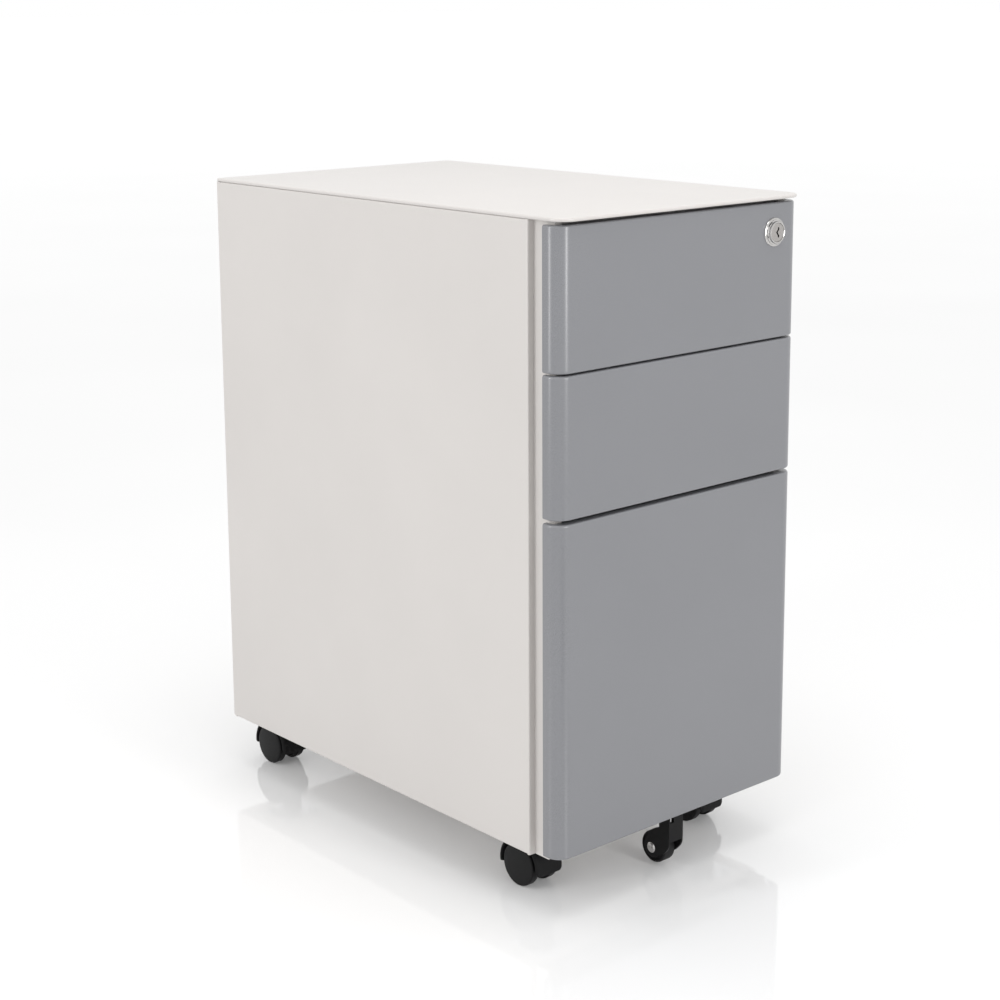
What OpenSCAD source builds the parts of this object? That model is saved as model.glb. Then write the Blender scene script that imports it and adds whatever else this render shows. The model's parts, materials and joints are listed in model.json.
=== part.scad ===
// Slim mobile drawer pedestal in folded sheet steel: two stationery drawers over one filing
// drawer, a central lock, four twin-wheel castors and a fifth wheel under the filing drawer.
// The origin is on the floor, below the middle of the cabinet. +Z is up and -Y is the front.
// The modules work from a datum: y = 0 is the face of the drawers, and z = 0 is the bottom
// edge of the carcass. place() moves them to the origin.

/* [Cabinet] */
// Width of the carcass, the top and the drawer fronts
cabinet_w = 300; // [300:5:360]
// Depth from the faces of the drawers to the back
cabinet_d = 500; // [480:10:600]
// Height of the carcass below its top
carcass_h = 560; // [555:5:620]
// Height of the castors, from the floor to the bottom edge of the carcass
castor_h = 53; // [50:1:60]
// Thickness of the folded sheet steel
sheet = 1; // [0.8:0.1:1.1]

/* [Top] */
// Thickness of the top's folded edge
top_t = 3.4; // [3:0.2:6]
// How far the top stands past the drawer fronts
top_overhang = 4.3; // [2:0.1:5]
// Radius of the top's front corners
top_corner_r = 16; // [8:1:24]

/* [Drawer fronts] */
// Height of each stationery drawer front
small_front_h = 123.6; // [120:0.2:130]
// Radius of the upright corners of the fronts
front_corner_r = 14.4; // [8:0.2:16]
// Depth of a front, from its face to the back edge of its side flange
front_depth = 19.5; // [19:0.1:20]
// Gap between the top and the upper front
top_gap = 3.1; // [2:0.1:4]
// Gap between the two stationery fronts
small_gap = 1.6; // [1.2:0.1:4]
// Gap above the filing drawer front
filing_gap = 3.4; // [2:0.1:5]
// Height of the lowest front above the bottom edge of the carcass
bottom_gap = 4.7; // [4.7:0.1:6]

/* [Finger recess] */
// Width of the upright recess between a front and the side panel
recess_w = 17.5; // [15:0.5:22]
// Depth of the recess into the side of the cabinet
recess_d = 6.75; // [5:0.25:7]

/* [Castors] */
// Diameter of a castor wheel
wheel_d = 40; // [38:0.5:40]
// Distance between the castors from side to side
castor_track = 214; // [200:2:214]
// Distance from the swivel axis of a castor to its axle
castor_trail = 16; // [14:0.5:17]

/* [Lock] */
// Distance of the lock from the middle of the cabinet
lock_x = 114.8; // [110:0.2:116]
// Depth of the lock's axis below the top edge of the upper front
lock_drop = 26.4; // [25:0.2:27]
// How far the lock stands out of the front
lock_proud = 4.6; // [4.4:0.2:7]

/* [Hidden] */
$fn = 96;

LEFT = -1;
RIGHT = 1;
CARCASS = [0.86, 0.84, 0.83];
FRONTS = [0.58, 0.58, 0.6];
TRAY = [0.62, 0.62, 0.63];
STEEL = [0.75, 0.76, 0.77];
CHROME = [0.85, 0.86, 0.88];
BLACK = [0.12, 0.12, 0.12];

eps = 0.1;
half_w = cabinet_w / 2;
mid_y = (cabinet_d - max(lock_proud, top_overhang)) / 2;

// Side panel: its fold lines seen from above, on the right-hand side.
side_y = front_depth + recess_w;
post_y = 12;
post_out = half_w - recess_d;
post_in = half_w - 15.75;
post_leg = 22;
flange = 13;
side_corner_r = 5;
hem = 12;

// Drawers 1 and 2 are the stationery drawers, and drawer 3 is the filing drawer.
front_1_low = carcass_h - top_gap - small_front_h;
front_2_low = front_1_low - small_gap - small_front_h;
front_low = [front_1_low, front_2_low, bottom_gap];
front_h = [small_front_h, small_front_h, front_2_low - filing_gap - bottom_gap];
front_return = 10;
liner_half = post_in - 1.25;

slide_t = 12.5;
slide_start = front_depth + 1.5;
slide_len = cabinet_d - 50;
member_t = 1.2;
tray_half = post_in - slide_t;
tray_back = cabinet_d - 45;
tray_low = [front_low[0] + 7.7, front_low[1] + 7.7, 8];
tray_h = [76, 76, front_h[2] - 62];
tray_hem = 6;
tray_hem_start = 45;
slide_z = [tray_low[0] + 24, tray_low[1] + 24, tray_low[2] + 142];
cabinet_member = [17.5, 17.5, 22.5];

// Lock bar: a strap between the right-hand post and the rear upright.
lock_z = front_low[0] + small_front_h - lock_drop;
plug_r = 8.5;
running_gap = 0.05;
cam_len = 22;
cam_half_w = 4;
cam_y = 24.6;
strap_x = half_w - 13;
strap_y = 52;
strap_w = 20;
strap_t = 2;
catch_y = 66;
catch_r = 3;
catch_z = [tray_low[0] + 59, tray_low[1] + 59, tray_low[2] + 182];
bar_tab_z = lock_z - 7.6;
guide_z = [90, catch_z[1] + 35.2];
guide_h = 20;

// Castors: the wheels of a castor stand on each side of a rib in its hood.
wheel_r = wheel_d / 2;
castor_axle_z = wheel_r - castor_h;
castor_x = castor_track / 2;
castor_front_y = 67;
castor_back_y = cabinet_d - 40;
hood_r = wheel_r + 4;
hood_wall = 2;
hood_half_w = 14.5;
rib_half_w = 5.2;
pin_r = 4.5;
pin_len = 12;
castor_axle_r = 3;
wheel_in = 8;
wheel_out = 17;
hub_r = 7;
hub_in = 5.5;
castor_axle_half = 13.8;
plate_w = 46;
plate_l = 40;
plate_t = 2;
screw_dx = 17;
screw_dy = 14;
screw_r = 2;

// Fifth wheel: hangs under the front of the filing drawer, just above the floor.
fifth_x = 6.1;
fifth_y = 31.4;
fifth_r = 15.1;
fifth_lift = 2.9;
fifth_z = fifth_lift + fifth_r - castor_h;
fifth_half_w = 6.8;
fifth_wall = 2;
fork_half_w = fifth_half_w + 0.3 + fifth_wall;
fifth_axle_r = 2;

module place() {
    translate([0, -mid_y, castor_h]) children();
}

module on_side(side) {
    if (side == RIGHT) children();
    else mirror([1, 0, 0]) children();
}

// A cylinder along X, from x0 to x1.
module rod_x(r, x0, x1, y, z) {
    translate([x0, y, z]) rotate([0, 90, 0]) cylinder(r = r, h = x1 - x0);
}

// A cylinder along Y, from y0 to y1.
module rod_y(r, x, y0, y1, z) {
    translate([x, y0, z]) rotate([-90, 0, 0]) cylinder(r = r, h = y1 - y0);
}

function arc(cx, cy, r, a0, a1, n) =
    [for (i = [0 : n]) let (a = a0 + (a1 - a0) * i / n) [cx + r * cos(a), cy + r * sin(a)]];

// ---- Carcass ----

// The side panel's fold line: outer skin, step, recess strip, front return, inner leg and
// rear return.
module side_profile() {
    translate([half_w - sheet, side_y]) square([sheet, cabinet_d - side_y]);
    translate([post_out - sheet, side_y]) square([recess_d + sheet, sheet]);
    translate([post_out - sheet, post_y]) square([sheet, side_y + sheet - post_y]);
    translate([post_in, post_y]) square([post_out - post_in, sheet]);
    translate([post_in, post_y]) square([sheet, post_leg]);
    translate([half_w - flange - 2, cabinet_d - sheet]) square([flange + 2, sheet]);
}

// The post's front corner is cut away behind the bottom edge of the lowest front.
module side_panel(side) {
    notch_back = front_depth - 0.2;
    notch_h = bottom_gap + 1.3;
    color(CARCASS) place() on_side(side) difference() {
        union() {
            linear_extrude(height = carcass_h) side_profile();
            for (z = [0, carcass_h - sheet])
                translate([half_w - flange, side_y + sheet, z])
                    cube([flange, cabinet_d - side_y - 2 * sheet, sheet]);
        }
        translate([post_in, cabinet_d - side_corner_r, -eps]) difference() {
            cube([half_w, side_corner_r + eps, side_corner_r + eps]);
            rod_x(side_corner_r, -eps, half_w + eps, 0, side_corner_r + eps);
        }
        translate([post_in - eps, post_y - eps, -eps])
            cube([post_out - post_in + 2 * eps, notch_back - post_y + eps, notch_h + eps]);
    }
}

module back_panel() {
    back_half = half_w - sheet - 0.1;
    panel_h = carcass_h - 3 * sheet - 0.1;
    color(CARCASS) place() translate([-back_half, 0, 2 * sheet]) {
        translate([0, cabinet_d - 2 * sheet, 0]) cube([2 * back_half, sheet, panel_h]);
        for (z = [0, panel_h - sheet])
            translate([0, cabinet_d - hem, z]) cube([2 * back_half, hem - 2 * sheet, sheet]);
    }
}

// Outline of the top from above, moved in from its edge by inset.
module top_outline(inset) {
    r = max(top_corner_r - inset, 1);
    half = half_w - inset;
    front = inset - top_overhang;
    back = cabinet_d - inset;
    translate([-half, front + r]) square([2 * half, back - front - r]);
    translate([r - half, front]) square([2 * (half - r), r + eps]);
    for (x = [r - half, half - r])
        translate([x, front + r]) circle(r = r);
}

module top_panel() {
    color(CARCASS) place() translate([0, 0, carcass_h]) difference() {
        linear_extrude(height = top_t) top_outline(0);
        translate([0, 0, sheet])
            linear_extrude(height = top_t - 2 * sheet) top_outline(sheet);
        translate([0, 0, -eps])
            linear_extrude(height = sheet + 2 * eps) top_outline(hem);
    }
}

module base_pan() {
    pan_half = half_w - sheet - 0.1;
    pan_front = side_y + 1.5;
    pan_back = cabinet_d - 2 * sheet - 0.1;
    side_lip = 13;
    front_lip = 5;
    notch_half = 34;
    notch_l = 24;
    color(CARCASS) place() difference() {
        translate([0, 0, sheet]) {
            translate([-pan_half, pan_front, 0])
                cube([2 * pan_half, pan_back - pan_front, sheet]);
            for (x = [-pan_half, pan_half - sheet])
                translate([x, pan_front, 0])
                    cube([sheet, pan_back - pan_front - hem, side_lip]);
            translate([-pan_half, pan_front, 0]) cube([2 * pan_half, sheet, front_lip]);
            translate([fifth_x - notch_half, pan_front + notch_l, 0])
                cube([2 * notch_half, sheet, front_lip]);
        }
        translate([fifth_x - notch_half, pan_front - 1, 0]) cube([2 * notch_half, notch_l + 1, 20]);
        at_castor_screws() translate([0, 0, -eps]) cylinder(r = screw_r + 0.1, h = 4);
    }
}

module top_rail() {
    rail_y = 22;
    rail_h = 14;
    color(CARCASS) place() translate([-post_in, rail_y, carcass_h - sheet - rail_h]) {
        cube([2 * post_in, sheet, rail_h]);
        cube([2 * post_in, 12, sheet]);
        translate([0, 0, rail_h - sheet]) cube([2 * post_in, 18, sheet]);
    }
}

module rear_upright(side) {
    upright_y = slide_start + slide_len - 24;
    upright_z = 15;
    upright_h = carcass_h - 30;
    color(CARCASS) place() on_side(side) translate([post_in, upright_y, upright_z]) {
        cube([sheet, 24, upright_h]);
        for (y = [0, 24 - sheet])
            translate([0, y, 0]) cube([half_w - sheet - post_in, sheet, upright_h]);
    }
}

// ---- Drawer slides ----

// A channel along Y. Its web's back is at x_web and its lips end at x_lip.
module channel(x_web, x_lip, half_h) {
    dir = x_lip > x_web ? 1 : -1;
    web_low = min(x_web, x_web + dir * member_t);
    lip_low = min(x_web, x_lip);
    translate([web_low, slide_start, -half_h]) cube([member_t, slide_len, 2 * half_h]);
    for (z = [-half_h, half_h - member_t])
        translate([lip_low, slide_start, z]) cube([abs(x_lip - x_web), slide_len, member_t]);
}

module cabinet_slide(k, side) {
    color(STEEL) place() on_side(side) translate([0, 0, slide_z[k]])
        channel(post_in, tray_half + 3.5, cabinet_member[k]);
}

module drawer_slide(k, side) {
    lip = k == 2 ? 6.75 : 9.25;
    color(STEEL) place() on_side(side) translate([0, 0, slide_z[k]])
        channel(tray_half, tray_half + lip, 12.2);
}

module middle_slide(side) {
    color(STEEL) place() on_side(side) translate([0, 0, slide_z[2]])
        channel(tray_half + 8.95, tray_half + 2.25, 17.5);
}

// ---- Drawers ----

// Outline of a front from above, moved in from its face and sides by inset.
module front_outline(inset, back) {
    r = front_corner_r - inset;
    half = half_w - inset;
    translate([-half, front_corner_r]) square([2 * half, back - front_corner_r]);
    intersection() {
        translate([-half, inset]) square([2 * half, r + eps]);
        union() {
            translate([r - half, inset]) square([2 * (half - r), r + eps]);
            for (x = [r - half, half - r])
                translate([x, front_corner_r]) circle(r = r);
        }
    }
}

module front(k) {
    h = front_h[k];
    inner_half = half_w - sheet;
    color(FRONTS) place() translate([0, 0, front_low[k]]) difference() {
        linear_extrude(height = h) front_outline(0, front_depth);
        translate([0, 0, sheet])
            linear_extrude(height = h - 2 * sheet) front_outline(sheet, front_depth + eps);
        translate([-inner_half, front_return, -eps])
            cube([2 * inner_half, front_depth, h + 2 * eps]);
        if (k == 0) lock_hole();
    }
}

module liner(k) {
    h = front_h[k] - 2 * sheet;
    depth = front_depth - sheet;
    color(FRONTS) place() translate([0, 0, front_low[k]]) difference() {
        translate([-liner_half, sheet, sheet]) cube([2 * liner_half, depth, h]);
        translate([sheet - liner_half, 0, 2 * sheet])
            cube([2 * (liner_half - sheet), depth, h - 2 * sheet]);
        if (k == 0) lock_hole();
    }
}

module lock_hole() {
    rod_y(plug_r + 1.35, lock_x, -1, front_depth + 1, lock_z - front_low[0]);
}

// A tray open at the top, with its side edges folded inwards. The front closes its open end.
module tray(k) {
    h = tray_h[k];
    length = tray_back - front_depth;
    color(TRAY) place() translate([0, 0, tray_low[k]]) {
        translate([-tray_half, front_depth, 0]) cube([2 * tray_half, length, sheet]);
        for (x = [-tray_half, tray_half - sheet])
            translate([x, front_depth, 0]) cube([sheet, length, h]);
        translate([-tray_half, tray_back - sheet, 0]) cube([2 * tray_half, sheet, h]);
        for (x = [-tray_half, tray_half - tray_hem])
            translate([x, tray_hem_start, h - sheet])
                cube([tray_hem, tray_back - tray_hem_start, sheet]);
        rod_x(catch_r, tray_half - eps, tray_half + 9.25, catch_y, catch_z[k] - tray_low[k]);
    }
}

// Two bars across the filing drawer, which hanging files ride on.
module file_rails() {
    rail_t = 3;
    rail_h = 12;
    spacing = 330;
    first_y = 60;
    rail_z = tray_low[2] + tray_h[2];
    color(STEEL) place() for (y = [first_y, first_y + spacing])
        translate([-tray_half, y, rail_z]) {
            cube([2 * tray_half, rail_t, rail_h]);
            for (x = [0, 2 * tray_half - 1.5])
                translate([x, -6, 0]) cube([1.5, 15, 4]);
        }
}

// ---- Lock ----

module lock_housing() {
    color(CHROME) place() difference() {
        union() {
            rod_y(13.2, lock_x, -1.6, 0, lock_z);
            rod_y(11.6, lock_x, -2.8, -1.5, lock_z);
            rod_y(10, lock_x, -lock_proud, -2.7, lock_z);
            rod_y(plug_r + 1.3, lock_x, -1, 23.5, lock_z);
        }
        rod_y(plug_r + running_gap, lock_x, -lock_proud - 1, 24, lock_z);
    }
}

module lock_nut() {
    nut_r = 12.7;
    color(STEEL) place() difference() {
        translate([lock_x, front_depth, lock_z]) rotate([-90, 0, 0])
            rotate([0, 0, 30]) cylinder(r = nut_r, h = 3, $fn = 6);
        rod_y(plug_r + 1.3, lock_x, front_depth - 1, front_depth + 4, lock_z);
    }
}

module lock_plug() {
    key_w = 1.6;
    key_h = 10;
    key_depth = 14;
    color(CHROME) place() difference() {
        union() {
            rod_y(plug_r, lock_x, 0.3 - lock_proud, 24.4, lock_z);
            translate([lock_x - 3, 24, lock_z - 3]) cube([6, 3.6, 6]);
        }
        translate([lock_x - key_w / 2, -lock_proud, lock_z - key_h / 2])
            cube([key_w, key_depth, key_h]);
    }
}

// The cam hangs straight down while the drawers are unlocked.
module lock_cam() {
    color(STEEL) place() difference() {
        union() {
            rod_y(7, lock_x, cam_y, cam_y + 2, lock_z);
            translate([lock_x - cam_half_w, cam_y, lock_z - cam_len + cam_half_w])
                cube([2 * cam_half_w, 2, cam_len - cam_half_w]);
            rod_y(cam_half_w, lock_x, cam_y, cam_y + 2, lock_z - cam_len + cam_half_w);
        }
        translate([lock_x - 3, cam_y - 1, lock_z - 3]) cube([6, 4, 6]);
    }
}

// The strap that locks all three drawers: a finger stands in front of each drawer's catch
// once the cam has lifted the tab.
module lock_bar() {
    finger_h = 8;
    finger_in = tray_half + 2.25;
    arm_y = 36;
    arm_t = 4;
    tab_x = lock_x - 20;
    strap_low = 20;
    strap_high = bar_tab_z + 22;
    color(STEEL) place() {
        translate([strap_x, strap_y, strap_low]) cube([strap_t, strap_w, strap_high - strap_low]);
        for (z = catch_z)
            translate([finger_in, strap_y, z - 16])
                cube([strap_x - finger_in + eps, 6, finger_h]);
        translate([strap_x, arm_y, bar_tab_z]) cube([strap_t, strap_y - arm_y + eps, 16]);
        translate([tab_x, arm_y, bar_tab_z]) cube([strap_x - tab_x + eps, arm_t, 6]);
        translate([tab_x, cam_y + 0.4, bar_tab_z]) cube([6, arm_y - cam_y, 6]);
    }
}

module lock_bar_guides() {
    play = 0.3;
    wall = 1.5;
    x_in = strap_x - play - wall;
    y_in = strap_y - play;
    y_out = strap_y + strap_w + play;
    color(STEEL) place() for (z = guide_z) translate([0, 0, z])
        linear_extrude(height = guide_h) difference() {
            translate([x_in, y_in - wall])
                square([half_w - sheet - x_in, y_out - y_in + 2 * wall]);
            translate([strap_x - play, y_in])
                square([strap_t + 2 * play, y_out - y_in]);
            translate([x_in - 1, y_in + 4])
                square([wall + 2, y_out - y_in - 8]);
        }
}

// ---- Castors ----

module at_castors() {
    for (x = [-castor_x, castor_x], y = [castor_front_y, castor_back_y])
        translate([x, y, 0]) children();
}

module at_castor_screws() {
    at_castors() for (x = [-screw_dx, screw_dx], y = [-screw_dy, screw_dy])
        translate([x, y, 0]) children();
}

module castor_plates() {
    color(STEEL) place() difference() {
        at_castors() {
            translate([-plate_w / 2, -plate_l / 2, sheet - plate_t])
                cube([plate_w, plate_l, plate_t]);
            translate([0, 0, sheet - plate_t - pin_len])
                cylinder(r = pin_r, h = pin_len + eps);
        }
        at_castor_screws() translate([0, 0, -5]) cylinder(r = screw_r + 0.2, h = 10);
    }
}

module castor_screws() {
    color(STEEL) place() at_castor_screws() {
        translate([0, 0, sheet - plate_t - 0.1]) cylinder(r = screw_r, h = 5);
        translate([0, 0, sheet - plate_t - 2.2]) cylinder(r = 4, h = 2.2);
    }
}

// Hood, with its swivel axis at x = y = 0 and its axle behind it.
module hood_shape() {
    top = sheet - plate_t - 0.3;
    shell_low = castor_axle_z - 5.5;
    difference() {
        union() {
            rod_x(hood_r, -hood_half_w, hood_half_w, castor_trail, castor_axle_z);
            translate([0, 0, castor_axle_z + 5]) cylinder(r = 10, h = top - castor_axle_z - 5);
        }
        for (x = [-hood_half_w - 1, rib_half_w])
            rod_x(hood_r - hood_wall, x, x + hood_half_w + 1 - rib_half_w,
                castor_trail, castor_axle_z);
        for (x = [-hood_half_w - 1, rib_half_w])
            translate([x, castor_trail, shell_low - 1])
                cube([hood_half_w + 1 - rib_half_w, hood_r - hood_wall, castor_axle_z - shell_low + 1]);
        translate([-30, -30, shell_low - 30]) cube([60, 90, 30]);
        translate([0, 0, sheet - plate_t - pin_len - 0.5])
            cylinder(r = pin_r + running_gap, h = pin_len + 5);
        rod_x(castor_axle_r, -rib_half_w - 1, rib_half_w + 1, castor_trail, castor_axle_z);
    }
}

module castor_hood(x, y) {
    color(BLACK) place() translate([x, y, 0]) hood_shape();
}

module castor_axle(x, y) {
    color(STEEL) place() translate([x, y, 0])
        rod_x(castor_axle_r, -castor_axle_half, castor_axle_half, castor_trail, castor_axle_z);
}

// Half section of a wheel: radius against distance from the middle of the castor.
function wheel_section() = concat(
    [[castor_axle_r + running_gap, hub_in], [hub_r, hub_in], [hub_r, wheel_in],
     [wheel_r, wheel_in]],
    arc(wheel_r - 2, wheel_out - 2.8, 2, 0, 80, 8),
    [[wheel_r - 8, wheel_out - 0.5], [0, wheel_out], [0, castor_axle_half + 0.5],
     [castor_axle_r + running_gap, castor_axle_half + 0.5]]
);

module castor_wheel(x, y, side) {
    color(BLACK) place() translate([x, y, 0]) on_side(side)
        translate([0, castor_trail, castor_axle_z]) rotate([0, 90, 0])
            rotate_extrude() polygon(wheel_section());
}

// ---- Fifth wheel ----

// Side of the fork, as points of y and z: a tall front edge, and a round end at the axle.
module fork_side() {
    end_r = 9.5;
    linear_extrude(height = fifth_wall) {
        polygon([
            [9, bottom_gap], [9, -25.5], [9.6, -28.2], [11, -31], [13.4, -34], [17, -37.5],
            [fifth_y - 7.4, fifth_z - 6], [fifth_y + 8.8, fifth_z - 3.6],
            [fifth_y + 9.3, fifth_z + 2], [fifth_y + 7.1, fifth_z + 9], [fifth_y + 2.6, fifth_z + 15.5],
            [28.4, -15.1], [22, -12], [22, bottom_gap]
        ]);
        translate([fifth_y, fifth_z]) circle(r = end_r);
    }
}

// Moulded fork: a front plate, two sides for the axle, and a top plate on two bosses.
module fifth_wheel_bracket() {
    low_x = fifth_x - fork_half_w;
    front_y = 9;
    front_low_z = -24;
    tail_y = fifth_y + 17;
    top_t = 2.5;
    color(BLACK) place() difference() {
        union() {
            translate([low_x, front_y, front_low_z])
                cube([2 * fork_half_w, fifth_wall, bottom_gap - front_low_z]);
            translate([low_x, front_y, bottom_gap - top_t])
                cube([2 * fork_half_w, tail_y - front_y, top_t]);
            for (y = [front_depth + 6, tail_y - 5])
                translate([fifth_x, y, bottom_gap - eps])
                    cylinder(r = 4.5, h = tray_low[2] - bottom_gap + eps);
            for (x = [low_x, fifth_x + fork_half_w - fifth_wall])
                rotate([90, 0, 90]) translate([0, 0, x]) fork_side();
        }
        translate([low_x + 1.4, front_y - 1, -5.2]) cube([4.8, fifth_wall + 2, bottom_gap + 6]);
        rod_x(fifth_axle_r, low_x - 1, fifth_x + fork_half_w + 1, fifth_y, fifth_z);
    }
}

// The axle's head is outside the fork's right side, and its other end is in the cap.
module fifth_wheel_axle() {
    head_t = 1.4;
    left = fifth_x - fork_half_w;
    right = fifth_x + fork_half_w;
    color(STEEL) place() union() {
        rod_x(fifth_axle_r, left - 0.9, right, fifth_y, fifth_z);
        rod_x(4, right, right + head_t, fifth_y, fifth_z);
    }
}

module fifth_wheel_cap() {
    left = fifth_x - fork_half_w;
    color(CHROME) place() difference() {
        union() {
            rod_x(5, left - 0.85, left - 0.05, fifth_y, fifth_z);
            rod_x(4.2, left - 1.6, left - 0.8, fifth_y, fifth_z);
        }
        rod_x(fifth_axle_r, left - 0.9, left, fifth_y, fifth_z);
    }
}

// Half section of the fifth wheel: radius against distance from its left face. Both faces are
// dished inside their rims.
function fifth_section() = let (w = 2 * fifth_half_w, r = fifth_r, bore = fifth_axle_r + running_gap)
    concat(
        [[bore, 0], [6, 0], [6.4, 1.2], [r - 3.8, 1.2], [r - 3.2, 0]],
        arc(r - 1.8, 1.8, 1.8, -90, 0, 5),
        arc(r - 1.8, w - 1.8, 1.8, 0, 90, 5),
        [[r - 3.2, w], [r - 3.8, w - 1.2], [6.4, w - 1.2], [6, w], [bore, w]]
    );

module fifth_wheel() {
    color(BLACK) place() translate([fifth_x - fifth_half_w, fifth_y, fifth_z])
        rotate([0, 90, 0]) rotate_extrude() polygon(fifth_section());
}

side_panel(LEFT);  // side_panel_left
side_panel(RIGHT);  // side_panel_right
back_panel();
top_panel();
base_pan();
top_rail();
rear_upright(LEFT);  // rear_upright_left
rear_upright(RIGHT);  // rear_upright_right
cabinet_slide(0, LEFT);  // cabinet_slide_1_left
cabinet_slide(0, RIGHT);  // cabinet_slide_1_right
cabinet_slide(1, LEFT);  // cabinet_slide_2_left
cabinet_slide(1, RIGHT);  // cabinet_slide_2_right
cabinet_slide(2, LEFT);  // cabinet_slide_3_left
cabinet_slide(2, RIGHT);  // cabinet_slide_3_right
castor_plates();
castor_screws();
lock_bar_guides();
lock_bar();
front(0);  // front_1
liner(0);  // liner_1
tray(0);  // tray_1
drawer_slide(0, LEFT);  // drawer_slide_1_left
drawer_slide(0, RIGHT);  // drawer_slide_1_right
lock_housing();
lock_nut();
lock_plug();
lock_cam();
front(1);  // front_2
liner(1);  // liner_2
tray(1);  // tray_2
drawer_slide(1, LEFT);  // drawer_slide_2_left
drawer_slide(1, RIGHT);  // drawer_slide_2_right
front(2);  // front_3
liner(2);  // liner_3
tray(2);  // tray_3
drawer_slide(2, LEFT);  // drawer_slide_3_left
drawer_slide(2, RIGHT);  // drawer_slide_3_right
file_rails();
middle_slide(LEFT);  // middle_slide_left
middle_slide(RIGHT);  // middle_slide_right
fifth_wheel_bracket();
fifth_wheel_axle();
fifth_wheel_cap();
fifth_wheel();
castor_hood(-castor_x, castor_front_y);  // castor_front_left_hood
castor_axle(-castor_x, castor_front_y);  // castor_front_left_axle
castor_wheel(-castor_x, castor_front_y, LEFT);  // castor_front_left_wheel_left
castor_wheel(-castor_x, castor_front_y, RIGHT);  // castor_front_left_wheel_right
castor_hood(castor_x, castor_front_y);  // castor_front_right_hood
castor_axle(castor_x, castor_front_y);  // castor_front_right_axle
castor_wheel(castor_x, castor_front_y, LEFT);  // castor_front_right_wheel_left
castor_wheel(castor_x, castor_front_y, RIGHT);  // castor_front_right_wheel_right
castor_hood(-castor_x, castor_back_y);  // castor_back_left_hood
castor_axle(-castor_x, castor_back_y);  // castor_back_left_axle
castor_wheel(-castor_x, castor_back_y, LEFT);  // castor_back_left_wheel_left
castor_wheel(-castor_x, castor_back_y, RIGHT);  // castor_back_left_wheel_right
castor_hood(castor_x, castor_back_y);  // castor_back_right_hood
castor_axle(castor_x, castor_back_y);  // castor_back_right_axle
castor_wheel(castor_x, castor_back_y, LEFT);  // castor_back_right_wheel_left
castor_wheel(castor_x, castor_back_y, RIGHT);  // castor_back_right_wheel_right
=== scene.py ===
"""Looks of a slim steel drawer pedestal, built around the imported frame.

Sizes are in metres. The CAD nodes give every place; pieces that need finer shape replace their
node, and the others get a finish and broken edges."""

import json
import math

import bmesh
import bpy
from mathutils import Matrix, Vector


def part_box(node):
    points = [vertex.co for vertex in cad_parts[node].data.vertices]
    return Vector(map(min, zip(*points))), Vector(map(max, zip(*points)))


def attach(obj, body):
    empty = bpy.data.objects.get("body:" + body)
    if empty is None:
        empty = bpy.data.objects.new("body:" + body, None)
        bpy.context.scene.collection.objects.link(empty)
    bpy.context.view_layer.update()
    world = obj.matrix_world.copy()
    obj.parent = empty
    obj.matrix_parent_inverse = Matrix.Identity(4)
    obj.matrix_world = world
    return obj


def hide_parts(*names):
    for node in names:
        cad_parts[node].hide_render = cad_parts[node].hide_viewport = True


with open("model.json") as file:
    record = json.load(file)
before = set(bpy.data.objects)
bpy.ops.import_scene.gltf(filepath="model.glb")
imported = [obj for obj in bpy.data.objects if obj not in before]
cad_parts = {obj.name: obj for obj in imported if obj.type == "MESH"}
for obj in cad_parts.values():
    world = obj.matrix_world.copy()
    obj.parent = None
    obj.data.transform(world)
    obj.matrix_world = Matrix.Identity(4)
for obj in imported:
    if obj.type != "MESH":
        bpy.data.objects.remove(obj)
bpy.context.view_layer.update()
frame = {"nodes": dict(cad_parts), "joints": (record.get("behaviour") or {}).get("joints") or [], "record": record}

MM = 0.001
SHEET = 1.0 * MM


# ---------------------------------------------------------------- materials


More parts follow.
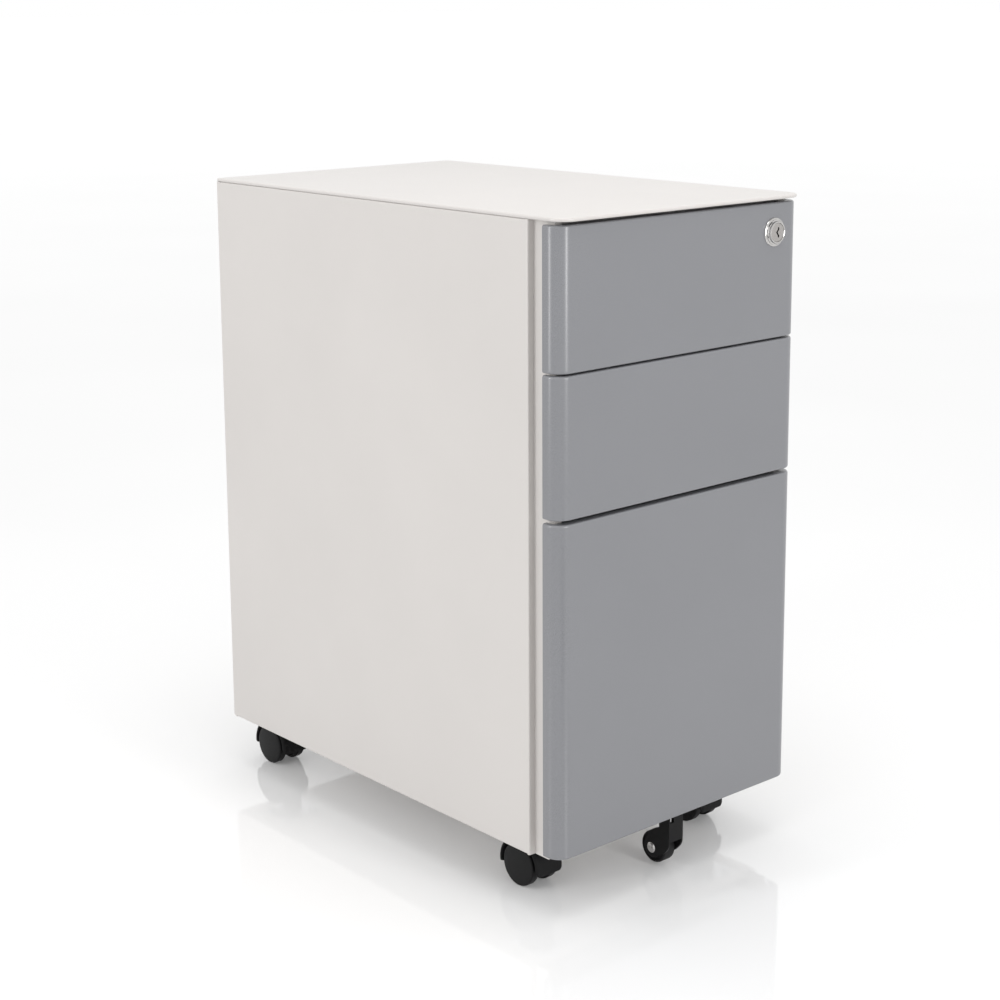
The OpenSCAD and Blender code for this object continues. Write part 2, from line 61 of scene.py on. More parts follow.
class Nodes:
    """A new material's node tree, with short calls to add and link nodes."""

    def __init__(self, name):
        self.material = bpy.data.materials.new(name)
        self.material.use_nodes = True
        self.tree = self.material.node_tree
        self.shader = self.tree.nodes["Principled BSDF"]
        self.coords = self.add("ShaderNodeTexCoord").outputs["Object"]

    def add(self, kind, **values):
        node = self.tree.nodes.new(kind)
        for key, value in values.items():
            if hasattr(node, key):
                setattr(node, key, value)
            else:
                node.inputs[key.replace("_", " ")].default_value = value
        return node

    def link(self, output, target):
        self.tree.links.new(output, target)

    def stretched(self, scale):
        """Object coordinates multiplied by a scale for each axis."""
        mapping = self.add("ShaderNodeMapping")
        mapping.inputs["Scale"].default_value = scale
        self.link(self.coords, mapping.inputs["Vector"])
        return mapping.outputs["Vector"]

    def noise(self, scale, detail=2.0, roughness=0.5, coords=None):
        node = self.add("ShaderNodeTexNoise", Scale=scale, Detail=detail, Roughness=roughness)
        self.link(coords or self.coords, node.inputs["Vector"])
        return node.outputs["Fac"]

    def ranged(self, value, low, high, start=0.3, end=0.7):
        """A value from start to end, mapped to low to high and clamped."""
        node = self.add("ShaderNodeMapRange")
        node.inputs["From Min"].default_value = start
        node.inputs["From Max"].default_value = end
        node.inputs["To Min"].default_value = low
        node.inputs["To Max"].default_value = high
        self.link(value, node.inputs["Value"])
        return node.outputs["Result"]

    def shade(self, value, dark, light, start=0.3, end=0.7):
        """Colour from dark to light as value goes from start to end."""
        ramp = self.add("ShaderNodeValToRGB")
        ramp.color_ramp.elements[0].position = start
        ramp.color_ramp.elements[0].color = (*dark, 1)
        ramp.color_ramp.elements[1].position = end
        ramp.color_ramp.elements[1].color = (*light, 1)
        self.link(value, ramp.inputs["Fac"])
        self.link(ramp.outputs["Color"], self.shader.inputs["Base Color"])

    def bump(self, height, distance, strength=1.0, below=None):
        node = self.add("ShaderNodeBump", Strength=strength, Distance=distance)
        self.link(height, node.inputs["Height"])
        if below:
            self.link(below, node.inputs["Normal"])
        self.link(node.outputs["Normal"], self.shader.inputs["Normal"])
        return node.outputs["Normal"]

    def set(self, **values):
        for key, value in values.items():
            self.shader.inputs[key.replace("_", " ")].default_value = value


def scaled(colour, factor):
    return tuple(c * factor for c in colour)


def powder_coat(name, colour, roughness, gloss=0.45):
    """Baked powder paint: a fine orange-peel surface with a faint drift in tone."""
    m = Nodes(name)
    drift = m.noise(9.0, detail=3.0)
    m.shade(drift, scaled(colour, 0.982), scaled(colour, 1.012))
    grain = m.noise(2600.0, detail=2.0)
    m.link(m.ranged(grain, roughness - 0.05, roughness + 0.06), m.shader.inputs["Roughness"])
    peel = m.bump(m.noise(420.0, detail=1.5), distance=0.05 * MM, strength=0.35)
    m.bump(grain, distance=0.012 * MM, strength=0.5, below=peel)
    m.set(Specular_IOR_Level=gloss)
    return m.material


def zinc_steel(name, colour=(0.62, 0.63, 0.65)):
    """Bright zinc plate over cold-rolled strip, with its rolling grain along Y."""
    m = Nodes(name)
    grain = m.noise(600.0, detail=4.0, coords=m.stretched((1.0, 0.05, 1.0)))
    blotch = m.noise(38.0, detail=4.0, roughness=0.65)
    m.shade(blotch, scaled(colour, 0.84), scaled(colour, 1.06))
    m.link(m.ranged(grain, 0.26, 0.42), m.shader.inputs["Roughness"])
    m.bump(grain, distance=0.02 * MM, strength=0.4)
    m.set(Metallic=1.0)
    return m.material


def chrome(name):
    """Polished chrome plate with hair-fine turning marks."""
    m = Nodes(name)
    marks = m.noise(900.0, detail=3.0)
    m.shade(marks, (0.52, 0.51, 0.50), (0.59, 0.58, 0.57))
    m.link(m.ranged(marks, 0.07, 0.13), m.shader.inputs["Roughness"])
    m.set(Metallic=1.0)
    return m.material


def satin_nickel(name):
    """Face of the lock plug: fine, nearly matt plating."""
    m = Nodes(name)
    grain = m.noise(1800.0, detail=3.0)
    m.shade(grain, (0.40, 0.385, 0.37), (0.50, 0.48, 0.465))
    m.link(m.ranged(grain, 0.3, 0.44), m.shader.inputs["Roughness"])
    m.bump(grain, distance=0.02 * MM, strength=0.5)
    m.set(Metallic=1.0)
    return m.material


def keyway_painted_shade(name):
    """Inside of the keyway: a dull surface whose near-black colour is painted shade, standing in for the shade
    deep in the slot that light hardly reaches.
    """
    m = Nodes(name)
    shade_grain = m.noise(1200.0, detail=3.0)
    # Painted shade: a near-black tone, with a faint random drift, for the inside of the slot.
    m.shade(shade_grain, (0.004, 0.004, 0.004), (0.02, 0.018, 0.016))
    m.link(m.ranged(shade_grain, 0.5, 0.7), m.shader.inputs["Roughness"])
    m.set(Specular_IOR_Level=0.1)
    return m.material


def black_nylon(name, tone, roughness):
    """Moulded nylon: spark-eroded texture, slightly greyer on its high spots."""
    m = Nodes(name)
    texture = m.noise(1500.0, detail=3.0)
    m.shade(texture, scaled((1, 1, 1.04), tone * 0.8), scaled((1, 1, 1.04), tone * 1.25))
    m.link(m.ranged(texture, roughness - 0.06, roughness + 0.08), m.shader.inputs["Roughness"])
    m.bump(texture, distance=0.02 * MM, strength=0.5)
    m.set(Specular_IOR_Level=0.16)
    return m.material


CARCASS_PAINT = powder_coat("carcass_powder_coat", (0.568, 0.543, 0.523), 0.36, 0.9)
FRONT_PAINT = powder_coat("front_powder_coat", (0.184, 0.1872, 0.2001), 0.27, 0.9)
TRAY_PAINT = powder_coat("tray_powder_coat", (0.36, 0.36, 0.37), 0.5)
ZINC = zinc_steel("zinc_plate")
CHROME = chrome("chrome_plate")
NICKEL = satin_nickel("satin_nickel")
# Near-black painted shade for the faces inside the keyway.
KEYWAY_PAINTED_SHADE = keyway_painted_shade("keyway_painted_shade")
HOOD_NYLON = black_nylon("hood_nylon", 0.007, 0.45)
WHEEL_NYLON = black_nylon("wheel_nylon", 0.006, 0.40)
TREAD_NYLON = black_nylon("tread_nylon", 0.014, 0.55)


# ---------------------------------------------------------------- mesh helpers


def new_object(name, verts, faces):
    mesh = bpy.data.meshes.new(name)
    mesh.from_pydata([tuple(v) for v in verts], [], faces)
    obj = bpy.data.objects.new(name, mesh)
    bpy.context.scene.collection.objects.link(obj)
    clean(obj)
    return obj


def clean(obj, distance=1e-6):
    """Welds doubled vertices and drops faces that have no area."""
    bm = bmesh.new()
    bm.from_mesh(obj.data)
    bmesh.ops.remove_doubles(bm, verts=bm.verts, dist=distance)
    bmesh.ops.dissolve_degenerate(bm, edges=bm.edges, dist=distance)
    loose = [v for v in bm.verts if not v.link_faces]
    bmesh.ops.delete(bm, geom=loose, context="VERTS")
    bm.to_mesh(obj.data)
    bm.free()


def outward(obj):
    """Turns the faces of a closed mesh outwards."""
    bm = bmesh.new()
    bm.from_mesh(obj.data)
    bmesh.ops.recalc_face_normals(bm, faces=bm.faces)
    bm.to_mesh(obj.data)
    bm.free()


def apply_modifiers(obj):
    graph = bpy.context.evaluated_depsgraph_get()
    made = bpy.data.meshes.new_from_object(obj.evaluated_get(graph))
    obj.modifiers.clear()
    obj.data = made


def smooth(obj, angle=32):
    for polygon in obj.data.polygons:
        polygon.use_smooth = True
    obj.data.set_sharp_from_angle(angle=math.radians(angle))


def bevel(obj, width, segments=2, angle=40):
    mod = obj.modifiers.new("edges", "BEVEL")
    mod.width = width
    mod.segments = segments
    mod.limit_method = "ANGLE"
    mod.angle_limit = math.radians(angle)
    mod.harden_normals = False


def solidify(obj, thickness):
    mod = obj.modifiers.new("sheet", "SOLIDIFY")
    mod.thickness = thickness
    mod.offset = -1


def place(obj, body, material, nodes=()):
    """Gives a finished piece its material and body, and hides the CAD nodes it stands for."""
    if not obj.data.materials:
        obj.data.materials.append(material)
    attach(obj, body)
    if nodes:
        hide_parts(*nodes)


def join(objects, name):
    """One object from several finished ones, keeping their materials."""
    bm = bmesh.new()
    materials = []
    for obj in objects:
        mesh = obj.data.copy()
        mesh.transform(obj.matrix_world)
        for slot_material in mesh.materials:
            if slot_material not in materials:
                materials.append(slot_material)
        indices = [materials.index(m) for m in mesh.materials]
        for polygon in mesh.polygons:
            polygon.material_index = indices[polygon.material_index] if indices else 0
        bm.from_mesh(mesh)
        bpy.data.meshes.remove(mesh)
        bpy.data.objects.remove(obj)
    mesh = bpy.data.meshes.new(name)
    bm.to_mesh(mesh)
    bm.free()
    for m in materials:
        mesh.materials.append(m)
    joined = bpy.data.objects.new(name, mesh)
    bpy.context.scene.collection.objects.link(joined)
    return joined


def lathe(name, profile, origin, axis, turns=64):
    """Solid of revolution. profile holds (radius, distance along the axis); it is closed."""
    spin = Vector((0, 0, 1)).rotation_difference(Vector(axis)).to_matrix().to_4x4()
    frame_matrix = Matrix.Translation(Vector(origin)) @ spin
    verts, faces = [], []
    count = len(profile)
    for i in range(turns):
        a = 2 * math.pi * i / turns
        for r, h in profile:
            verts.append(frame_matrix @ Vector((r * math.cos(a), r * math.sin(a), h)))
    for i in range(turns):
        j = (i + 1) % turns
        for k in range(count):
            n = (k + 1) % count
            if profile[k][0] == 0 and profile[n][0] == 0:
                continue
            faces.append((i * count + k, i * count + n, j * count + n, j * count + k))
    obj = new_object(name, verts, faces)
    outward(obj)
    return obj


def prism(name, outline, depth, matrix):
    """Closed outline in a plane, extruded by depth along the plane's normal."""
    count = len(outline)
    verts = [matrix @ Vector((x, y, z)) for z in (0, depth) for x, y in outline]
    faces = [tuple(range(count)), tuple(range(2 * count - 1, count - 1, -1))]
    faces += [(i, (i + 1) % count, (i + 1) % count + count, i + count) for i in range(count)]
    obj = new_object(name, verts, faces)
    outward(obj)
    return obj


def arc_points(centre, radius, start, end, steps):
    """Points on an arc, with its angles in degrees."""
    out = []
    for i in range(steps + 1):
        a = math.radians(start + (end - start) * i / steps)
        out.append((centre[0] + radius * math.cos(a), centre[1] + radius * math.sin(a)))
    return out


class Column:
    """One upright strip of a folded panel, seen from above: where it stands, which way is in,
    its height, how deep its flanges fold in, and their bend radius."""

    def __init__(self, point, inward, low, high, flange=0.0, bend=0.0):
        self.point = Vector(point)
        self.inward = Vector(inward)
        self.low = low
        self.high = high
        self.flange = flange
        self.bend = bend


BEND_STEPS = 5
HOLD = 0.4 * MM
ROWS = 2 * (BEND_STEPS + 3)
WALL_ROW = ROWS // 2 - 1


def column_section(c, depth=0.0):
    """(inset, height) points of a column, from its lower flange up and over its upper flange.
    depth is how far below the outer face the points are."""
    r = c.bend
    if r == 0:
        return [(depth, c.low)] * (ROWS // 2) + [(depth, c.high)] * (ROWS // 2)
    lower, upper = [(c.flange, c.low + depth)], [(depth, c.high - r - HOLD)]
    for i in range(BEND_STEPS + 1):
        a = 0.5 * math.pi * i / BEND_STEPS
        turn_in, turn_up = (r - depth) * math.sin(a), (r - depth) * math.cos(a)
        lower.append((r - turn_in, c.low + r - turn_up))
        upper.append((r - turn_up, c.high - r + turn_in))
    lower.append((depth, c.low + r + HOLD))
    upper.append((c.flange, c.high - depth))
    return lower + upper


def thick_sheet(name, outer, inner, faces):
    """Closed sheet between two matching sets of points, with flat rims along its free edges."""
    index, remap, front, back = {}, [], [], []
    for o, i in zip(outer, inner):
        key = tuple(round(c, 7) for c in o)
        if key not in index:
            index[key] = len(front)
            front.append(o)
            back.append(i)
        remap.append(index[key])
    kept = []
    for face in faces:
        ring = [remap[k] for k in face]
        ring = [v for n, v in enumerate(ring) if v != ring[n - 1]]
        if len(set(ring)) == len(ring) >= 3:
            kept.append(ring)
    edges = {(ring[n - 1], v) for ring in kept for n, v in enumerate(ring)}
    free = [(a, b) for a, b in edges if (b, a) not in edges]
    count = len(front)
    solid = kept + [[count + v for v in reversed(ring)] for ring in kept]
    solid += [[b, a, count + a, count + b] for a, b in sorted(free)]
    obj = new_object(name, front + back, solid)
    outward(obj)
    return obj


def folded_panel(name, columns):
    """Sheet-metal panel from upright columns, with its outer face where they stand."""
    outer, inner, faces = [], [], []
    for c in columns:
        for depth, side in ((0.0, outer), (SHEET, inner)):
            for inset, z in column_section(c, depth):
                p = c.point + c.inward * inset
                side.append((p.x, p.y, z))
    for i in range(len(columns) - 1):
        flanged = columns[i].flange > 0 and columns[i + 1].flange > 0
        for k in range(ROWS - 1):
            if k == WALL_ROW or flanged:
                faces.append((i * ROWS + k, (i + 1) * ROWS + k,
                              (i + 1) * ROWS + k + 1, i * ROWS + k + 1))
    obj = thick_sheet(name, outer, inner, faces)
    smooth(obj, 40)
    return obj


def path_columns(points, bends, low, high, steps=6):
    """Columns along a fold line that turns at right angles, with inward to its left.
    bends holds the outer radius at each inner point."""
    out = []
    count = len(points)
    for i, point in enumerate(points):
        here = Vector(point)
        if i in (0, count - 1):
            other = Vector(points[1 if i == 0 else count - 2])
            along = (other - here).normalized() * (1 if i == 0 else -1)
            out.append(Column(here, (-along.y, along.x), low, high))
            continue
        before = (here - Vector(points[i - 1])).normalized()
        after = (Vector(points[i + 1]) - here).normalized()
        left_turn = before.x * after.y - before.y * after.x > 0
        r = bends[i - 1] if left_turn else max(bends[i - 1] - SHEET, 0.2 * MM)
        centre = here - before * r + Vector((-before.y, before.x)) * (r if left_turn else -r)
        for k in range(steps + 1):
            a = 0.5 * math.pi * k / steps
            n_before = Vector((-before.y, before.x))
            n_after = Vector((-after.y, after.x))
            n = n_before * math.cos(a) + n_after * math.sin(a)
            side = -1 if left_turn else 1
            out.append(Column(centre + n * r * side, n, low, high))
    return out


# ---------------------------------------------------------------- carcass

SIDE_LOW, SIDE_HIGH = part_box("side_panel_right")
HALF_W = SIDE_HIGH.x
POST_IN = SIDE_LOW.x
POST_Y = SIDE_LOW.y
BACK_Y = SIDE_HIGH.y
CARCASS_LOW = SIDE_LOW.z
CARCASS_TOP = SIDE_HIGH.z
FACE_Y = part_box("front_3")[0].y
FLANGE_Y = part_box("front_3")[1].y
SIDE_Y = FLANGE_Y + 17.5 * MM
POST_OUT = HALF_W - 6.75 * MM
POST_LEG = 22 * MM
REAR_RETURN = 15 * MM
POST_BENDS = (1.3 * MM, 1.1 * MM, 1.2 * MM)
OUTER_BEND = 1.3 * MM
SKIN_CORNER = 5 * MM
SKIN_FLANGE = 12 * MM
SKIN_EDGE_BEND = 1.8 * MM


def mirrored(obj, name):
    """A copy of obj on the other side of the cabinet."""
    mesh = obj.data.copy()
    mesh.transform(Matrix.Scale(-1, 4, (1, 0, 0)))
    mesh.flip_normals()
    copy = bpy.data.objects.new(name, mesh)
    bpy.context.scene.collection.objects.link(copy)
    return copy


def side_panel():
    """Right-hand side panel: leg, return, recess strip, step, skin and rear return."""
    fold = [
        (POST_IN, POST_Y + POST_LEG),
        (POST_IN, POST_Y),
        (POST_OUT, POST_Y),
        (POST_OUT, SIDE_Y),
        (HALF_W, SIDE_Y),
        (HALF_W, BACK_Y),
        (HALF_W - REAR_RETURN, BACK_Y),
    ]
    bends = POST_BENDS + (OUTER_BEND, OUTER_BEND)
    columns = path_columns(fold, bends, CARCASS_LOW, CARCASS_TOP)
    skin_start = SIDE_Y + OUTER_BEND + 1.2 * MM
    skin_end = BACK_Y - SKIN_CORNER - 1.5 * MM
    skin = []
    for y in (skin_start, skin_start + 0.3 * MM, 0.5 * (skin_start + skin_end),
              skin_end - 0.3 * MM, skin_end):
        flat = y in (skin_start, skin_end)
        skin.append(Column((HALF_W, y), (-1, 0), CARCASS_LOW, CARCASS_TOP,
                           0 if flat else SKIN_FLANGE, 0 if flat else SKIN_EDGE_BEND))
    corner_steps = 8
    for k in range(1, corner_steps + 1):
        y = BACK_Y - SKIN_CORNER + (SKIN_CORNER - OUTER_BEND) * k / corner_steps
        skin.append(Column((HALF_W, y), (-1, 0), rounded_low(y), CARCASS_TOP))
    # The skin goes in after the fold's first column that stands on the side's outer face.
    split = next(i for i, c in enumerate(columns)
                 if abs(c.point.x - HALF_W) < 1e-7 and c.point.y > SIDE_Y + 0.5 * OUTER_BEND) + 1
    post, rear = notched(columns[:split]), columns[split:]
    for c in rear:
        c.low = rounded_low(c.point.y)
    return post + skin + rear


def notched(columns):
    """Columns of the post, cut away at the bottom behind the lowest front's edge. The cut's
    upright edge is a pair of columns that stand close together, one long and one short."""
    notch_y = FLANGE_Y - 0.2 * MM
    notch_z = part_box("front_3")[0].z + 1.3 * MM
    step = 0.01 * MM
    out = []
    for n, c in enumerate(columns):
        if n:
            past = c.point.y - notch_y
            if (columns[n - 1].point.y - notch_y) * past < 0:
                for side in (-1, 1):
                    y = notch_y + math.copysign(step, past) * side
                    out.append(Column((c.point.x, y), c.inward, c.low, c.high))
        out.append(c)
    for c in out:
        if c.point.y < notch_y:
            c.low = notch_z
    return out


def rounded_low(y):
    """Height of the side's bottom edge near its rounded back corner."""
    past = max(y - (BACK_Y - SKIN_CORNER), 0.0)
    return CARCASS_LOW + SKIN_CORNER - math.sqrt(max(SKIN_CORNER ** 2 - past ** 2, 0.0))


def build_sides():
    """Both side panels: the left one mirrors the right one."""
    right = folded_panel("side_right_folded", side_panel())
    left = mirrored(right, "side_left_folded")
    smooth(left, 40)
    place(right, "carcass", CARCASS_PAINT, ["side_panel_right"])
    place(left, "carcass", CARCASS_PAINT, ["side_panel_left"])


def top_section(low_z, high_z, edge, hem, depth):
    """(inset, height) points from the hem's inner edge, round the rolled edge, to the flat top."""
    r = edge - depth
    section = [(hem, low_z + depth)]
    for i in range(BEND_STEPS + 1):
        a = 0.5 * math.pi * i / BEND_STEPS
        section.append((edge - r * math.sin(a), low_z + edge - r * math.cos(a)))
    for i in range(BEND_STEPS + 1):
        a = 0.5 * math.pi * i / BEND_STEPS
        section.append((edge - r * math.cos(a), high_z - edge + r * math.sin(a)))
    return section


def build_top():
    """Folded top: a hem below, a rolled edge, and rounded front corners."""
    low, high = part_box("top_panel")
    edge = 1.55 * MM
    front_r = 16 * MM
    back_r = 2.5 * MM
    hem = 12 * MM
    outline = []
    for sx, sy, r, start, steps in ((1, -1, front_r, -90, 14), (1, 1, back_r, 0, 6),
                                    (-1, 1, back_r, 90, 6), (-1, -1, front_r, 180, 14)):
        centre = Vector((sx * (high.x - r), high.y - r if sy > 0 else low.y + r))
        for i in range(steps + 1):
            a = math.radians(start + 90 * i / steps)
            outline.append((centre, Vector((math.cos(a), math.sin(a))), Vector((sx, sy)), r))
    outer, inner = [], []
    for centre, way, corner, r in outline:
        for depth, side in ((0.0, outer), (SHEET, inner)):
            for inset, z in top_section(low.z, high.z, edge, hem, depth):
                reach = r - inset
                p = centre + (way if reach > 0 else corner) * reach
                side.append((p.x, p.y, z))
    rows = len(outer) // len(outline)
    count = len(outline)
    faces = [(i * rows + k, (i + 1) % count * rows + k,
              (i + 1) % count * rows + k + 1, i * rows + k + 1)
             for i in range(count) for k in range(rows - 1)]
    faces.append(tuple(i * rows + rows - 1 for i in range(count)))
    top = thick_sheet("top_folded", outer, inner, faces)
    smooth(top, 40)
    place(top, "carcass", CARCASS_PAINT, ["top_panel"])


# ---------------------------------------------------------------- drawer fronts

FRONT_R = 14.4 * MM
FRONT_EDGE = 2.0 * MM
LOCK_HOLE_R = 9.4 * MM


def front_flange(angle):
    """How far a front's top and bottom flanges reach in, where the outline faces angle degrees
    from the side of the cabinet. They stay clear of the carcass posts."""
    narrow, wide = 5.0, 9.5
    t = min(max((angle - 22) / 23, 0.0), 1.0)
    return (narrow + (wide - narrow) * t * t * (3 - 2 * t)) * MM


def front_columns(low, high):
    """Columns of a front, from its left edge round both upright corners to its right edge."""
    left = []
    for y in (FLANGE_Y, FLANGE_Y - 1 * MM, FACE_Y + FRONT_R + 1 * MM):
        left.append(Column((-HALF_W, y), (1, 0), low, high, front_flange(0), FRONT_EDGE))
    centre = Vector((-HALF_W + FRONT_R, FACE_Y + FRONT_R))
    steps = 18
    for i in range(steps + 1):
        a = 0.5 * math.pi * i / steps
        way = Vector((-math.cos(a), -math.sin(a)))
        flange = front_flange(math.degrees(a))
        left.append(Column(centre + way * FRONT_R, -way, low, high, flange, FRONT_EDGE))
    right = [Column((-c.point.x, c.point.y), (-c.inward.x, c.inward.y), low, high,
                    c.flange, c.bend) for c in reversed(left)]
    return left + right


def build_fronts():
    """The three pressed fronts; the top one has the lock's hole."""
    lock_low, lock_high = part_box("lock_housing")
    lock_mid = (lock_low + lock_high) / 2
    for k in (1, 2, 3):
        low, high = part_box(f"front_{k}")
        front = folded_panel(f"front_{k}_pressed", front_columns(low.z, high.z))
        if k == 1:
            reach = 10 * MM
            drill = [(0, -reach), (LOCK_HOLE_R, -reach), (LOCK_HOLE_R, reach), (0, reach)]
            hole = lathe("lock_hole", drill, (lock_mid.x, FACE_Y, lock_mid.z), (0, 1, 0))
            cut(front, hole)
            smooth(front, 40)
        place(front, f"drawer_{k}", FRONT_PAINT, [f"front_{k}"])


def cut(obj, tool):
    """Takes the tool's solid away from obj, and removes the tool."""
    mod = obj.modifiers.new("cut", "BOOLEAN")
    mod.operation = "DIFFERENCE"
    mod.solver = "EXACT"
    mod.object = tool
    apply_modifiers(obj)
    bpy.data.objects.remove(tool)


# ---------------------------------------------------------------- lock

KEYWAY_DEPTH = 12 * MM
TAIL_LENGTH = 3.5 * MM


def build_lock():
    """Lock housing: a plain barrel behind the front, and a stepped, rounded collar on it."""
    low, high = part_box("lock_housing")
    centre = Vector(((low.x + high.x) / 2, FACE_Y, (low.z + high.z) / 2))
    proud = FACE_Y - low.y
    r_flange = (high.x - low.x) / 2
    plug_low, plug_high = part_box("lock_plug")
    r_plug = (plug_high.x - plug_low.x) / 2
    r_face = 10.1 * MM
    bore = r_plug + 0.05 * MM
    depth = high.y - FACE_Y
    # Distances are out of the face, towards the front.
    profile = [
        (bore, -depth),
        (r_plug + 1.3 * MM, -depth),
        (r_plug + 1.3 * MM, 0.0),
        (r_flange, 0.0),
        (r_flange, 0.5 * MM),
        (r_flange - 0.35 * MM, 1.1 * MM),
        (r_flange - 1.1 * MM, 1.5 * MM),
        (r_flange - 1.7 * MM, 1.6 * MM),
        (r_flange - 1.8 * MM, 2.3 * MM),
        (r_flange - 2.3 * MM, 2.8 * MM),
        (r_face + 0.25 * MM, 2.9 * MM),
        (r_face + 0.1 * MM, 3.2 * MM),
        (r_face, proud - 0.5 * MM),
        (r_face - 0.15 * MM, proud - 0.15 * MM),
        (r_face - 0.5 * MM, proud),
        (bore + 0.4 * MM, proud),
        (bore + 0.12 * MM, proud - 0.15 * MM),
        (bore, proud - 0.6 * MM),
    ]
    housing = lathe("lock_bezel", profile, centre, (0, -1, 0), turns=96)
    smooth(housing, 28)
    place(housing, "drawer_1", CHROME, ["lock_housing"])
    build_plug(centre, r_plug, proud)


def build_plug(centre, r, proud):
    """Turning plug, with a chevron keyway cut into its face."""
    _, plug_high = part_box("lock_plug")
    face = proud - 0.3 * MM
    back = plug_high.y - FACE_Y - TAIL_LENGTH + 0.1 * MM
    profile = [
        (0, -back), (r, -back), (r, face - 0.45 * MM), (r - 0.12 * MM, face - 0.12 * MM),
        (r - 0.4 * MM, face), (r - 1.0 * MM, face), (0, face),
    ]
    plug = lathe("lock_plug_turned", profile, centre, (0, -1, 0), turns=96)
    key = keyway_outline(half_h=4.7 * MM, kink=2.2 * MM, half_w=1.0 * MM)
    upright = Matrix(((1, 0, 0), (0, 0, 1), (0, 1, 0))).to_4x4()
    start = Vector((centre.x, FACE_Y - proud - 1 * MM, centre.z))
    slot_tool = prism("keyway", key, KEYWAY_DEPTH, Matrix.Translation(start) @ upright)
    cut(plug, slot_tool)
    plug.data.materials.clear()
    for m in (NICKEL, KEYWAY_PAINTED_SHADE):
        plug.data.materials.append(m)
    # Faces inside the slot get the painted-shade material; the rest of the plug keeps its plating.
    for polygon in plug.data.polygons:
        off = polygon.center - centre
        near_axis = math.hypot(off.x, off.z) < 5.4 * MM
        in_slot = near_axis and 0.05 * MM < off.y + face < KEYWAY_DEPTH
        polygon.material_index = 1 if in_slot else 0
    tail_low = Vector((centre.x, plug_high.y - TAIL_LENGTH, centre.z))
    half = 3.0 * MM
    square = [(-half, -half), (half, -half), (half, half), (-half, half)]
    tail = prism("plug_tail", square, TAIL_LENGTH, Matrix.Translation(tail_low) @ upright)
    tail.data.materials.append(ZINC)
    joined = join([plug, tail], "lock_plug_with_tail")
    smooth(joined, 28)
    place(joined, "lock_core", NICKEL, ["lock_plug"])


def keyway_outline(half_h, kink, half_w):
    """Outline of a keyway that bends sharply to one side at its middle."""
    steps = 16
    right, left = [], []
    for i in range(steps + 1):
        z = half_h * (2 * i / steps - 1)
        t = abs(z) / half_h
        x = kink * (min(t / 0.62, 1.0) - 0.5)
        narrow = math.sqrt(max(1 - t ** 8, 0.3))
        right.append((x + half_w * narrow, z))
        left.append((x - half_w * narrow, z))
    return right + left[::-1]


# ---------------------------------------------------------------- castors

JOINTS = {j["name"]: j for j in frame["joints"]}
CASTORS = ["front_left", "front_right", "back_left", "back_right"]
RIB_HALF_T = 5.2 * MM
HOOD_WALL = 2.1 * MM
PLATE_PIN_LENGTH = 12 * MM
NECK_GAP = 0.3 * MM
NECK_R = 10 * MM
PIN_BORE_R = 4.55 * MM


def castor_shell(name, axle, radius, half_w):
    """Moulded hood over the wheels: it runs from a little below the axle in front, over the top,
    to the same height behind, and its side edges and corners are rounded."""
    front_end, rear_end = -12.0, 192.0  # degrees round the axle
    corner = 14.0  # degrees by which the corners are cut back
    steps_round, steps_across = 48, 14
    edge_w, edge_drop = 2.4 * MM, 1.3 * MM
    verts, faces = [], []
    for i in range(steps_across + 1):
        across = -1 + 2 * i / steps_across
        x = math.copysign(1 - (1 - abs(across)) ** 1.6, across) * half_w
        past = max(abs(x) - (half_w - edge_w), 0.0) / edge_w
        fall = 1 - math.sqrt(max(1 - past ** 2, 0.0))
        drop, lift = edge_drop * fall, corner * fall
        for k in range(steps_round + 1):
            start, end = front_end + lift, rear_end - 0.5 * lift
            a = math.radians(180 - (start + (end - start) * k / steps_round))
            r = radius - drop
            verts.append((axle.x + x, axle.y + r * math.cos(a), axle.z + r * math.sin(a)))
    rows = steps_round + 1
    for i in range(steps_across):
        for k in range(steps_round):
            faces.append((i * rows + k, i * rows + k + 1,
                          (i + 1) * rows + k + 1, (i + 1) * rows + k))
    shell = new_object(name, verts, faces)
    solidify(shell, HOOD_WALL)
    apply_modifiers(shell)
    bevel(shell, 0.4 * MM, segments=2, angle=50)
    apply_modifiers(shell)
    return shell


def castor_rib(name, axle, radius, half_t):
    """Rib between the wheels that carries the axle, with an eye round it."""
    outline = arc_points((axle.y, axle.z), radius - 1.0 * MM, 0, 196, 30)
    outline += arc_points((axle.y, axle.z), 7 * MM, 215, 340, 12)
    to_x = Matrix(((0, 0, 1), (1, 0, 0), (0, 1, 0))).to_4x4()
    start = Matrix.Translation(Vector((axle.x - half_t, 0, 0)))
    rib = prism(name, outline, 2 * half_t, start @ to_x)
    bevel(rib, 0.4 * MM)
    apply_modifiers(rib)
    return rib


def castor_neck(name, axle, stem, radius):
    """Swivel neck over the hood, which turns on the plate's pin."""
    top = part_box("castor_plates")[0].z + PLATE_PIN_LENGTH - NECK_GAP - 1.0 * MM
    bottom = axle.z + math.sqrt(radius ** 2 - 10.5 ** 2 * MM ** 2) - 7 * MM
    profile = [(PIN_BORE_R, bottom), (NECK_R, bottom), (NECK_R, top - 1.5 * MM),
               (NECK_R - 0.6 * MM, top - 0.4 * MM), (NECK_R - 1.4 * MM, top), (PIN_BORE_R, top)]
    return lathe(name, profile, (stem.x, stem.y, 0), (0, 0, 1), turns=48)


